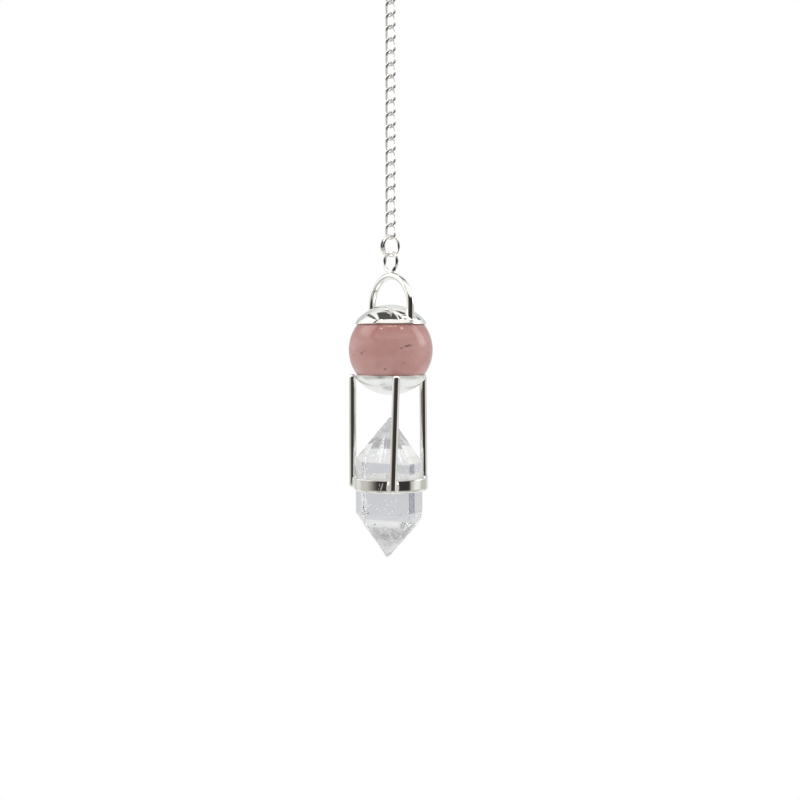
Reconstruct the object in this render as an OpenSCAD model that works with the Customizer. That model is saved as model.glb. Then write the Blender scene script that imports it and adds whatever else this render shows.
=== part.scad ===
// Pendulum pendant: a stone ball between two metal caps, a wire cage under it that holds
// a clear double-pointed crystal, and a fine curb chain that it hangs from.
// Millimetres, +Z up. The origin is the hang point, inside the top of the chain's end ring.
// Azimuths are degrees from the front, which is -Y, and grow towards +X.

/* [Chain] */
// Number of links
link_count = 20; // [8:1:60]
// Distance from one link to the next
link_pitch = 2.385; // [2.1:0.005:3]
// Outer width of a link
link_width = 2.1; // [1.9:0.05:2.6]
// Thickness of a link's wire
link_wire = 0.45; // [0.3:0.01:0.5]
// How far each link is twisted from its lower end to its upper end
link_twist = 90; // [70:5:110]
// Running clearance where one link or ring hooks into the next
hook_gap = 0.07; // [0.03:0.01:0.15]

/* [Rings] */
// Outer diameter of the ring at the chain's top end
end_ring_d = 4.4; // [4:0.1:6]
// Wire of the ring at the chain's top end
end_ring_wire = 0.6; // [0.45:0.05:0.8]
// Outer diameter of the coiled ring that joins the chain to the pendant
jump_ring_d = 4.4; // [4:0.1:6]
// Wire of the coiled ring
jump_ring_wire = 0.55; // [0.4:0.05:0.7]
// Gap between the coiled ring's two strands
strand_gap = 0.05; // [0.03:0.01:0.2]
// How far round the coiled ring's wire runs, from end to end
coil_sweep = 500; // [440:5:520]

/* [Ball] */
// Diameter of the stone ball
ball_d = 16.2; // [12:0.1:24]
// Gap between the ball and each cap
ball_gap = 0.05; // [0.03:0.01:0.2]
// Width of the stone band that shows between the caps
band_h = 9.76; // [7:0.1:11]

/* [Caps] */
// Thickness of the caps at their crown
cap_wall = 0.55; // [0.4:0.05:1]
// How much of the sharp edge is taken off each cap's rim, measured outwards
rim_break = 0.35; // [0.1:0.01:0.4]
// How far a wire that ends on a cap goes into the cap's wall
wall_sink = 0.03; // [0.02:0.01:0.1]

/* [Bail] */
// Azimuth of the bail's front foot
bail_azimuth = 38; // [0:1:60]
// Radius of the bail's arch, to the middle of its wire
bail_r = 6; // [5:0.1:6.2]
// Thickness of the bail's wire
bail_wire = 1.4; // [1:0.1:1.6]
// Height of the arch's centre above the ball's centre
bail_rise = 8.2; // [7:0.1:12]
// Outer diameter of the eye on top of the bail
eye_d = 4.4; // [4:0.1:6]
// Thickness of the eye's wire
eye_wire = 0.68; // [0.5:0.01:0.8]
// How deep soldered wires sink into each other
solder_sink = 0.2; // [0.1:0.05:0.3]
// Diameter of the solder bead under the eye
solder_bead_d = 1.1; // [0.8:0.1:1.4]

/* [Cage] */
// Distance from the ball's centre down to the collar's upper edge
collar_drop = 24.5; // [20:0.5:32]
// Play between the collar and the crystal's widest corner
collar_gap = 0.11; // [0.05:0.01:0.3]
// Thickness of the collar's band
collar_wall = 0.3; // [0.2:0.02:0.6]
// Height of the collar's band
collar_h = 2.4; // [1.5:0.1:4]
// Thickness of the three legs
leg_wire = 1.4; // [1:0.05:1.8]
// How far the legs stand above the lower cap's rim
leg_rise = 0.2; // [0.1:0.05:1.2]
// Height of the rounded point at each leg's lower end
leg_point_h = 0.7; // [0.3:0.1:1.2]
// Width of each leg's lower end, as a share of the leg's thickness
leg_tip_share = 0.35; // [0.2:0.05:0.9]

/* [Crystal] */
// Radius of the prism's corners
crystal_r = 6.5; // [5.5:0.05:7.5]
// How far the crystal sits to the left of the collar's centre
crystal_shift = 0.25; // [0:0.05:0.5]
// Length of the crystal from tip to tip
crystal_len = 27.28; // [20:0.1:36]
// Distance from the collar's upper edge up to the crystal's upper tip
crystal_rise = 11.68; // [9:0.1:13]
// Height of the upper point
upper_point_h = 8.4; // [6:0.1:10]
// Height of the lower point
lower_point_h = 8.75; // [6:0.1:10]
// How far the upper tip stands to the right, as a share of the prism's radius
upper_tip_share = 0.028; // [-0.2:0.01:0.2]

/* [Hidden] */
$fn = 64;
metal = "gainsboro";
stone = "rosybrown";
quartz = "aliceblue";

// Meshed wire: places along one full turn, and sides of the wire
TURN_STEPS = 16;
WIRE_SIDES = 6;

// Ends and middles of the hooked rings, from the hang point down
end_ring_in = end_ring_d / 2 - end_ring_wire;
end_ring_z = -end_ring_in;
end_ring_seat = end_ring_z - end_ring_in;
link_hole = link_pitch + hook_gap;
first_link_z = end_ring_seat + hook_gap - link_hole / 2;
last_link_seat = first_link_z - (link_count - 1) * link_pitch - link_hole / 2;
jump_ring_mid = jump_ring_d / 2 - jump_ring_wire / 2;
strand_pitch = jump_ring_wire + strand_gap;
// The coil leans so that its top and its bottom are plumb over each other
coil_reach = norm([jump_ring_mid, strand_pitch / 4]);
coil_lean = atan2(strand_pitch / 4, jump_ring_mid);
jump_ring_in = coil_reach - jump_ring_wire / 2;
jump_ring_z = last_link_seat + hook_gap - jump_ring_in;
jump_ring_seat = jump_ring_z - jump_ring_in;
eye_in = eye_d / 2 - eye_wire;
eye_z = jump_ring_seat + hook_gap - eye_in;

// Bail, ball and caps
bail_top = eye_z - eye_d / 2 + solder_sink;
bail_arch_z = bail_top - bail_r - bail_wire / 2;
ball_z = bail_arch_z - bail_rise;
ball_seat_r = ball_d / 2 + ball_gap;
cap_r = ball_seat_r + cap_wall;
rim_z = band_h / 2;
rim_r = sqrt(pow(cap_r, 2) - pow(rim_z, 2)) - rim_break;
bail_foot = bail_r + bail_wire / 2;
bail_foot_z = sqrt(pow(cap_r, 2) - pow(bail_foot, 2)) - wall_sink;

// One row for each corner of the uneven six-sided crystal
CORNER_AZIMUTH = 0;
CORNER_UP_SHARE = 1;
CORNER_LOW_SHARE = 2;
CORNER_SHARES = [
    // azimuth, shoulder below the upper tip and above the lower tip as shares of each point's height
    [-84, 0.95, 1.01],
    [-54.5, 1.005, 1],
    [35.5, 1.07, 1],
    [77, 1.03, 0.95],
    [140, 0.97, 1],
    [215, 0.95, 1.01]
];
// One row for each other corner of the lower point
TIP_X_SHARE = 0;
TIP_Y_SHARE = 1;
TIP_UP_SHARE = 2;
TIP_SHARES = [
    // across and back as shares of the prism's radius, and up as a share of the lower point's height
    [-0.075, 0.02, 0],
    [0.057, -0.015, 0.08],
    [0.834, -0.14, 0.76]
];

// The collar goes round the corner that reaches furthest from its axis
crystal_reach = max([
    for (row = CORNER_SHARES) norm(on_circle(crystal_r, row[CORNER_AZIMUTH], 0) - [crystal_shift, 0, 0])
]);
collar_r = crystal_reach + collar_gap + collar_wall;

// Cage
leg_top_z = leg_rise - rim_z;
leg_bottom_z = -collar_drop - collar_h + wall_sink;
leg_cap_r = rim_r + leg_wire / 2 - solder_sink / 2;
leg_collar_r = collar_r + leg_wire / 2 - solder_sink / 2;
// One row for each leg
CAP_END = 0;
COLLAR_END = 1;
LEG_AZIMUTHS = [
    // azimuth at the cap, azimuth at the collar
    [8, 3],
    [122, 123],
    [-98, -108]
];

function link_name(i) = str("link_", i < 10 ? "0" : "", i);

function unit(v) = v / norm(v);
function on_circle(r, azimuth, z) = [r * sin(azimuth), -r * cos(azimuth), z];

// Faces between one ring of points and the next, from ring a to ring b
function band_faces(a, b) = [
    for (k = [0:WIRE_SIDES - 1])
        let (
            p = a * WIRE_SIDES + k,
            q = a * WIRE_SIDES + (k + 1) % WIRE_SIDES,
            r = b * WIRE_SIDES + (k + 1) % WIRE_SIDES,
            s = b * WIRE_SIDES + k
        )
        each [[p, q, r], [p, r, s]]
];
function closed_tube_faces(rings) = [for (i = [0:rings - 1]) each band_faces(i, (i + 1) % rings)];
function open_tube_faces(rings) = [
    [for (k = [WIRE_SIDES - 1:-1:0]) k],
    for (i = [0:rings - 2]) each band_faces(i, i + 1),
    [for (k = [0:WIRE_SIDES - 1]) (rings - 1) * WIRE_SIDES + k]
];

// Points round a wire at one place on it, with the direction that the wire runs in
function wire_ring(at, along, outward, d) =
    let (
        out = unit(outward - (outward * along) * along),
        side = cross(along, out)
    )
    [
        for (k = [0:WIRE_SIDES - 1])
            let (a = 360 * k / WIRE_SIDES)
            at + d / 2 * (cos(a) * out + sin(a) * side)
    ];

// Middle line of a link: an oval that turns about its long axis as it rises
function link_mid(t) =
    let (
        half_w = (link_width - link_wire) / 2,
        half_l = (link_hole + link_wire) / 2,
        straight = half_l - half_w,
        end = abs(sin(t)) < 0.001 ? 0 : sign(sin(t)),
        u = half_w * cos(t),
        v = straight * end + half_w * sin(t),
        turn = link_twist / 2 * v / half_l
    )
    [u * cos(turn), u * sin(turn), v];

module link(i) {
    step = 360 / TURN_STEPS;
    points = [
        for (n = [0:TURN_STEPS - 1])
            let (
                at = link_mid(n * step),
                along = unit(link_mid((n + 0.5) * step) - link_mid((n - 0.5) * step))
            )
            each wire_ring(at, along, at, link_wire)
    ];
    color(metal)
        translate([0, 0, first_link_z - (i - 1) * link_pitch])
            polyhedron(points = points, faces = closed_tube_faces(TURN_STEPS));
}

// Middle line of the coiled ring: one and a half turns whose ends lie side by side
function coil_mid(t) = [
    jump_ring_mid * cos(t),
    strand_pitch * t / 360,
    jump_ring_mid * sin(t)
];

module jump_ring() {
    steps = ceil(coil_sweep * TURN_STEPS / 360);
    step = coil_sweep / steps;
    points = [
        for (n = [0:steps])
            let (
                t = n * step - coil_sweep / 2,
                along = unit(coil_mid(t + step / 2) - coil_mid(t - step / 2)),
                outward = [cos(t), 0, sin(t)]
            )
            each wire_ring(coil_mid(t), along, outward, jump_ring_wire)
    ];
    color(metal)
        translate([0, 0, jump_ring_z])
            rotate([coil_lean, 0, bail_azimuth])
                polyhedron(points = points, faces = open_tube_faces(steps + 1));
}

// A stretch of round wire bent to a circle in the XZ plane, starting from +X
module wire_arc(mid_r, wire, sweep) {
    rotate([90, 0, 0])
        rotate_extrude(angle = sweep)
            translate([mid_r, 0])
                circle(d = wire);
}

// A straight round wire between two points, with a blunt point at its far end
module pointed_wire(from, to, wire, point_h, tip_share) {
    run = to - from;
    length = norm(run);
    translate(from)
        rotate([0, 0, atan2(run[1], run[0])])
            rotate([0, acos(run[2] / length), 0])
                rotate_extrude()
                    polygon([
                        [0, 0],
                        [wire / 2, 0],
                        [wire / 2, length - point_h],
                        [wire / 2 * tip_share, length],
                        [0, length]
                    ]);
}

module end_ring() {
    color(metal)
        translate([0, 0, end_ring_z])
            rotate([0, 0, -link_twist / 2])
                wire_arc(end_ring_d / 2 - end_ring_wire / 2, end_ring_wire, 360);
}

// A cap that lies on top of the ball, about the ball's centre
module cap_shell() {
    difference() {
        intersection() {
            sphere(r = cap_r);
            translate([0, 0, rim_z])
                cylinder(r = rim_r, h = cap_r);
        }
        sphere(r = ball_seat_r);
    }
}

// The arch with its two straight legs, about the ball's centre
module bail() {
    translate([0, 0, bail_rise])
        wire_arc(bail_r, bail_wire, 180);
    for (side = [-1, 1])
        translate([side * bail_r, 0, bail_foot_z])
            cylinder(d = bail_wire, h = bail_rise - bail_foot_z);
}

module upper_cap() {
    color(metal)
        translate([0, 0, ball_z]) {
            cap_shell();
            rotate([0, 0, bail_azimuth - 90])
                difference() {
                    bail();
                    sphere(r = ball_seat_r + wall_sink);
                }
            rotate([0, 0, bail_azimuth - 90])
                translate([0, 0, eye_z - ball_z])
                    wire_arc(eye_d / 2 - eye_wire / 2, eye_wire, 360);
            translate([0, 0, bail_top - ball_z])
                sphere(d = solder_bead_d);
        }
}

module ball() {
    color(stone)
        translate([0, 0, ball_z])
            sphere(d = ball_d);
}

// The middle of a leg at a height: its straight line runs from cap to collar
function leg_at(row, z) =
    let (
        low_z = -collar_drop - collar_h / 2,
        cap_end = on_circle(leg_cap_r, row[CAP_END], -rim_z),
        collar_end = on_circle(leg_collar_r, row[COLLAR_END], low_z)
    )
    cap_end + (collar_end - cap_end) * (z + rim_z) / (low_z + rim_z);

// One leg, from beside the ball down to a blunt point at the collar's lower edge
module leg(row) {
    top = leg_at(row, leg_top_z);
    bottom = leg_at(row, leg_bottom_z);
    pointed_wire(top, bottom, leg_wire, leg_point_h, leg_tip_share);
}

module collar() {
    translate([0, 0, -collar_drop - collar_h])
        difference() {
            cylinder(r = collar_r, h = collar_h);
            translate([0, 0, -collar_h])
                cylinder(r = collar_r - collar_wall, h = 3 * collar_h);
        }
}

module cage() {
    color(metal)
        translate([0, 0, ball_z]) {
            mirror([0, 0, 1])
                cap_shell();
            difference() {
                for (row = LEG_AZIMUTHS)
                    leg(row);
                sphere(r = ball_seat_r + wall_sink);
            }
            collar();
        }
}

// The solid that the tightest flat faces round a list of points make
module faceted_stone(points) {
    last = len(points) - 1;
    hull()
        polyhedron(points = points, faces = [for (i = [2:last]) [i - 2, i - 1, i]]);
}

module crystal() {
    upper_z = crystal_rise - collar_drop;
    lower_z = upper_z - crystal_len;
    corner_points = [
        for (row = CORNER_SHARES)
            each [
                on_circle(crystal_r, row[CORNER_AZIMUTH], upper_z - row[CORNER_UP_SHARE] * upper_point_h),
                on_circle(crystal_r, row[CORNER_AZIMUTH], lower_z + row[CORNER_LOW_SHARE] * lower_point_h)
            ]
    ];
    tip_points = [
        for (row = TIP_SHARES)
            [
                crystal_r * row[TIP_X_SHARE],
                crystal_r * row[TIP_Y_SHARE],
                lower_z + row[TIP_UP_SHARE] * lower_point_h
            ]
    ];
    upper_tip = [crystal_r * upper_tip_share, 0, upper_z];
    color(quartz, 0.5)
        translate([-crystal_shift, 0, ball_z])
            faceted_stone(concat([upper_tip], corner_points, tip_points));
}

end_ring();
for (i = [1:link_count])
    link(i);
jump_ring();
upper_cap();
ball();
cage();
crystal();
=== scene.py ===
"""Looks for the pendulum pendant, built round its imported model.

Lengths are millimetres in the part's own frame until a mesh is made, and azimuths are degrees
from the front, which is -Y, growing towards +X.
"""

import math

import bmesh
import bpy
import numpy as np
from mathutils import Matrix, Vector


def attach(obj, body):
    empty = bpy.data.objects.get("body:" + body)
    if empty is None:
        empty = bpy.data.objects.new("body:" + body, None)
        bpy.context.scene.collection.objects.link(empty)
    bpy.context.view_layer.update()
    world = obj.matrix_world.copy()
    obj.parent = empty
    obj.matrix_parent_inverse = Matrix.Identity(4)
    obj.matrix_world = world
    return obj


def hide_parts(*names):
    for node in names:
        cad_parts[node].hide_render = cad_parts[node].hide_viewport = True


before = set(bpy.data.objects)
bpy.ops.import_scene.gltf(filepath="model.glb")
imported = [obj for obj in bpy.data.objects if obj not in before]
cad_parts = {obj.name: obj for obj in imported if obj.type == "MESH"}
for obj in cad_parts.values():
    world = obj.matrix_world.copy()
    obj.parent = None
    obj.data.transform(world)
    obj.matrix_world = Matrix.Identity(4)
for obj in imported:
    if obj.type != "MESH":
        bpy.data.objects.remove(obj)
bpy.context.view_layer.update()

MM = 0.001

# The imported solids' sizes
LINK_COUNT = 20
LINK_PITCH = 2.385
LINK_HALF_W = 0.825
LINK_HALF_L = 1.4525
LINK_WIRE = 0.45
LINK_TWIST = 90
FIRST_LINK_Z = -4.3575
END_RING_Z, END_RING_MID, END_RING_WIRE = -1.6, 1.9, 0.6
JUMP_RING_Z, JUMP_RING_MID, JUMP_RING_WIRE = -52.48584, 1.925, 0.55
STRAND_PITCH, COIL_LEAN, COIL_SWEEP = 0.6, 4.456, 500
BAIL_AZIMUTH, BAIL_R, BAIL_WIRE, BAIL_RISE = 38, 6, 1.4, 8.2
EYE_Z, EYE_MID, EYE_WIRE = -55.59168, 1.86, 0.68
BAIL_TOP = -57.59168
BALL_Z, BALL_R = -72.49168, 8.1
CAP_R, SEAT_R, RIM_R, RIM_Z = 8.7, 8.15, 6.85, 4.88
COLLAR_TOP, COLLAR_BOTTOM, COLLAR_IN, COLLAR_OUT = -24.5, -26.9, 6.86, 7.16
LEG_WIRE, LEG_TOP, LEG_BOTTOM = 1.4, -4.68, -26.87
LEG_CAP_R, LEG_COLLAR_R = 7.45, 7.76
LEG_AZIMUTHS = ((8, 3), (122, 123), (-98, -108))
CRYSTAL_R, CRYSTAL_SHIFT = 6.5, 0.25
CRYSTAL_MIDDLE, LOWER_TIP, LOWER_POINT_H = -26.5, -40.1, 8.75

# How finely the turned shapes are cut, and the angle in degrees that shades as an edge
CAP_SEGMENTS, BALL_SEGMENTS, BALL_STEPS = 144, 160, 96
EDGE_ANGLE, CRYSTAL_EDGE_ANGLE = 40, 20

# The crystal's eased edge, and the size of its milky skin as a share of its own
CRYSTAL_EDGE, MILK_SHARE = 0.09, 0.94


# Mesh building

def on_circle(r, azimuth, z):
    a = math.radians(azimuth)
    return np.array([r * math.sin(a), -r * math.cos(a), z])


def unit(v):
    return v / np.linalg.norm(v, axis=-1, keepdims=True)


def turned(points, x=0, z=0):
    """Points turned about X, then about Z, in degrees."""
    turn = Matrix.Rotation(math.radians(z), 3, "Z") @ Matrix.Rotation(math.radians(x), 3, "X")
    return np.asarray(points, float) @ np.array(turn).T


def grid_faces(rings, sides, closed):
    """Quads between each ring of points and the next."""
    faces = []
    for i in range(rings if closed else rings - 1):
        a, b = i * sides, (i + 1) % rings * sides
        for k in range(sides):
            n = (k + 1) % sides
            faces.append((a + k, a + n, b + n, b + k))
    return faces


def sheet_faces(rows, across):
    """Quads of an open sheet of points, row by row."""
    return [
        (i * across + k, i * across + k + 1, (i + 1) * across + k + 1, (i + 1) * across + k)
        for i in range(rows - 1)
        for k in range(across - 1)
    ]


def sweep(path, radii, outward, sides, closed=False):
    """A round wire along a path. outward is the side of it that the first points lie on."""
    path = np.asarray(path, float)
    count = len(path)
    radii = np.broadcast_to(radii, count)
    if closed:
        along = np.roll(path, -1, 0) - np.roll(path, 1, 0)
    else:
        along = np.gradient(path, axis=0)
    along = unit(along)
    outward = np.broadcast_to(outward, path.shape)
    out = unit(outward - (outward * along).sum(1)[:, None] * along)
    side = np.cross(along, out)
    a = np.linspace(0, 2 * math.pi, sides, endpoint=False)
    ring = np.cos(a)[None, :, None] * out[:, None, :] + np.sin(a)[None, :, None] * side[:, None, :]
    points = path[:, None, :] + ring * radii[:, None, None]
    faces = grid_faces(count, sides, closed)
    if not closed:
        faces.append(tuple(range(sides - 1, -1, -1)))
        faces.append(tuple((count - 1) * sides + k for k in range(sides)))
    return points.reshape(-1, 3), faces


def lathe(profile, segments, closed=False):
    """A profile of (radius, height) points turned about Z. An open one starts and ends on the axis."""
    a = np.linspace(0, 2 * math.pi, segments, endpoint=False)
    points, rings = [], []
    for r, z in profile:
        if r < 1e-6:
            rings.append([len(points)])
            points.append((0, 0, z))
        else:
            rings.append(list(range(len(points), len(points) + segments)))
            points.extend((r * math.cos(t), r * math.sin(t), z) for t in a)
    faces = []
    pairs = list(zip(rings, rings[1:] + rings[:1])) if closed else list(zip(rings, rings[1:]))
    for one, two in pairs:
        for k in range(segments):
            n = (k + 1) % segments
            if len(one) == 1:
                faces.append((one[0], two[k], two[n]))
            elif len(two) == 1:
                faces.append((one[k], two[0], one[n]))
            else:
                faces.append((one[k], two[k], two[n], one[n]))
    return np.array(points, float), faces


def half_circle(steps):
    """The profile of a ball of radius 1, from its top to its foot."""
    return [(math.sin(math.pi * i / steps), math.cos(math.pi * i / steps)) for i in range(steps + 1)]


def blob(centre, sizes, azimuth=0, segments=24):
    """A rounded lump with half sizes across, in and up, turned to an azimuth."""
    points, faces = lathe(half_circle(segments // 2), segments)
    return turned(points * np.array(sizes), z=azimuth) + np.asarray(centre, float), faces


def moved(part, by):
    return part[0] + np.asarray(by, float), part[1]


def about_ball(parts):
    """Parts that were made about the ball's centre, moved to their height in the frame."""
    return [moved(part, (0, 0, BALL_Z)) for part in parts]


def joined(parts):
    points, faces, start = [], [], 0
    for p, f in parts:
        points.append(p)
        faces.extend(tuple(i + start for i in face) for face in f)
        start += len(p)
    return np.concatenate(points), faces


def piece(name, parts, body, material, nodes=()):
    """Makes one object of the parts, which rides on a body and stands for CAD nodes."""
    points, faces = joined(parts)
    mesh = bpy.data.meshes.new(name)
    mesh.from_pydata((points * MM).tolist(), [], faces)
    bm = bmesh.new()
    bm.from_mesh(mesh)
    bmesh.ops.recalc_face_normals(bm, faces=bm.faces)
    bm.to_mesh(mesh)
    bm.free()
    finished(name, mesh, body, material, nodes, EDGE_ANGLE)


def finished(name, mesh, body, material, nodes, edge_angle):
    """Shades a mesh and makes its object, which rides on a body and stands for CAD nodes."""
    mesh.shade_smooth()
    mesh.set_sharp_from_angle(angle=math.radians(edge_angle))
    obj = bpy.data.objects.new(name, mesh)
    bpy.context.scene.collection.objects.link(obj)
    mesh.materials.append(material)
    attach(obj, body)
    if nodes:
        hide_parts(*nodes)


# Shader building

class Tree:
    """Short names for making and joining shader nodes."""

    def __init__(self, owner):
        owner.use_nodes = True
        self.tree = owner.node_tree
        self.tree.nodes.clear()

    def add(self, kind, inputs=None, **settings):
        made = self.tree.nodes.new(kind)
        for key, value in settings.items():
            setattr(made, key, value)
        for key, value in (inputs or {}).items():
            self.put(made.inputs[key], value)
        return made

    def put(self, socket, value):
        if isinstance(value, bpy.types.NodeSocket):
            self.tree.links.new(value, socket)
        else:
            socket.default_value = value

    def math(self, operation, a, b=0.0):
        return self.add("ShaderNodeMath", {0: a, 1: b}, operation=operation).outputs[0]

    def step(self, value, low, high, to_low=0.0, to_high=1.0):
        """Rises smoothly from to_low to to_high between two values."""
        made = self.add(
            "ShaderNodeMapRange",
            {"Value": value, "From Min": low, "From Max": high, "To Min": to_low, "To Max": to_high},
            interpolation_type="SMOOTHSTEP",
        )
        return made.outputs["Result"]

    def window(self, value, low, high, soft):
        """1 between two values, and 0 outside them."""
        up = self.step(value, low - soft, low + soft)
        down = self.step(value, high - soft, high + soft, 1.0, 0.0)
        return self.math("MULTIPLY", up, down)

    def patch(self, across, up):
        """1 where two values both lie in their windows: each is value, low, high and softness."""
        return self.math("MULTIPLY", self.window(*across), self.window(*up))

    def mix(self, share, a, b):
        made = self.add("ShaderNodeMix", data_type="RGBA")
        self.put(made.inputs["Factor"], share)
        self.put(made.inputs["A"], a)
        self.put(made.inputs["B"], b)
        return made.outputs["Result"]

    def noise(self, where, scale, detail=3.0, roughness=0.5, distortion=0.0):
        made = self.add(
            "ShaderNodeTexNoise",
            {
                "Vector": where, "Scale": scale, "Detail": detail, "Roughness": roughness,
                "Distortion": distortion,
            },
        )
        return made.outputs["Fac"]

    def surface(self, inputs):
        """Ends a material with one Principled shader."""
        shader = self.add("ShaderNodeBsdfPrincipled", inputs)
        self.add("ShaderNodeOutputMaterial", {"Surface": shader.outputs[0]})


def rgb(r, g, b):
    return (r, g, b, 1.0)


def new_material(name):
    """A material with its empty tree, and the place on the surface that its patterns follow."""
    material = bpy.data.materials.new(name)
    t = Tree(material)
    return material, t, t.add("ShaderNodeTexCoord").outputs["Object"]


# Materials

# Noise scales are per metre, so 420 is a pattern of about 2.4 mm and 5200 one of 0.2 mm
SILVER_CLOUDS, SILVER_GRAIN, SILVER_WAVES, SILVER_HAIRLINES = 420, 5200, 330, 9000
ROSE_CLOUDS, ROSE_VEINS, ROSE_RAGGED, ROSE_FINE = 170, 420, 2600, 900
CRYSTAL_CLOUDS, CRYSTAL_WAVES = 260, 240
FILM_PATCHES, FILM_FINE = 900, 4200
MILK_CLOUDS, MILK_FINE = 420, 1500
MOTTLE = 6000

QUARTZ_IOR = 1.544

# Painted dark reflections on the eye's foot, on the eye's sides and on the coiled ring: left, right, bottom,
# top and strength
PAINTED_DARK_REFLECTIONS = (
    (0.3, 0.95, -57.4, -56.6, 1.0),
    (0.95, 1.5, -55.75, -54.55, 0.75),
    (-1.5, -1.0, -55.45, -54.55, 0.75),
    (-2.1, -1.4, -53.0, -51.2, 0.65),
    (1.45, 1.9, -52.8, -51.3, 0.6),
)


def silver(name, tint, smooth, rough, wave, painted_link_reflections=None, painted_dark_reflections=None):
    """Bright plated metal, slightly wavy from hand polishing, with faint tarnish and hairlines.

    A colour for the links paints dark reflections on one side of each chain link near its ends. A colour
    for spots paints dark reflections at the eye's foot, at the eye's sides and on the coiled ring.
    """
    material, t, where = new_material(name)
    clouds = t.noise(where, SILVER_CLOUDS, 4.0, 0.6)
    grain = t.noise(where, SILVER_GRAIN, 3.0, 0.6)
    tarnish = t.step(clouds, 0.5, 0.78)
    colour = t.mix(tarnish, tint, rgb(0.88, 0.85, 0.79))
    # Painted dark reflections: dark strokes on one side of each chain link near its ends
    if painted_link_reflections:
        x, _, z = t.add("ShaderNodeSeparateXYZ", {0: where}).outputs
        above_link = t.math("SUBTRACT", z, FIRST_LINK_Z * MM)
        phase = t.math("FRACT", t.math("DIVIDE", above_link, LINK_PITCH * MM))
        on_right = t.step(x, -0.1 * MM, 0.25 * MM)
        on_left = t.step(x, -0.5 * MM, -0.15 * MM, 1.0, 0.0)
        foot = t.math("MULTIPLY", t.window(phase, 0.54, 0.84, 0.07), on_right)
        top = t.math("MULTIPLY", t.window(phase, 0.16, 0.44, 0.06), on_left)
        colour = t.mix(t.math("MAXIMUM", foot, top), colour, painted_link_reflections)
    # Painted dark reflections: dark patches on the eye and the coiled ring
    if painted_dark_reflections:
        x, _, z = t.add("ShaderNodeSeparateXYZ", {0: where}).outputs
        for left, right, bottom, top, most in PAINTED_DARK_REFLECTIONS:
            spot = t.patch((x, left * MM, right * MM, 0.1 * MM), (z, bottom * MM, top * MM, 0.15 * MM))
            colour = t.mix(t.math("MULTIPLY", spot, most), colour, painted_dark_reflections)
    roughness = t.step(clouds, 0.3, 0.8, smooth, rough)
    waves = t.noise(where, SILVER_WAVES, 2.0, 0.45)
    stretched = t.add("ShaderNodeMapping", {"Vector": where, "Scale": (1.0, 1.0, 0.12)}).outputs[0]
    hairlines = t.noise(stretched, SILVER_HAIRLINES, 2.0, 0.6)
    height = t.math("ADD", waves, t.math("MULTIPLY", grain, 0.02))
    height = t.math("ADD", height, t.math("MULTIPLY", hairlines, 0.008))
    bump = t.add("ShaderNodeBump", {"Strength": wave, "Distance": 0.03 * MM, "Height": height})
    t.surface({"Base Color": colour, "Metallic": 1.0, "Roughness": roughness, "Normal": bump.outputs[0]})
    return material


# Dark flecks on the ball: place across and up, side (-1 is the front), half sizes and strength
FLECKS = (
    (2.95, 0.66, -1, (0.55, 0.45, 0.24), 0.7),
    (3.6, 0.78, -1, (0.62, 0.5, 0.17), 0.62),
    (3.35, 0.98, -1, (0.3, 0.4, 0.12), 0.45),
    (2.0, 0.33, -1, (0.3, 0.4, 0.2), 0.6),
    (2.4, -2.5, -1, (0.45, 0.4, 0.26), 0.22),
    (-5.45, -0.64, -1, (0.34, 0.45, 0.26), 0.5),
    (-4.85, -0.28, -1, (0.32, 0.45, 0.15), 0.35),
    (-7.0, -1.0, -1, (0.35, 0.6, 0.22), 0.4),
    (-1.06, -3.6, -1, (0.36, 0.4, 0.22), 0.6),
    (-3.9, 2.3, -1, (0.2, 0.3, 0.14), 0.2),
    (1.2, 2.0, 1, (0.7, 0.5, 0.3), 0.6),
    (-4.6, -1.8, 1, (0.4, 0.5, 0.3), 0.5),
    (6.9, -2.6, 1, (0.45, 0.55, 0.3), 0.5),
    (-7.3, 1.9, 1, (0.4, 0.6, 0.25), 0.5),
)


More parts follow.
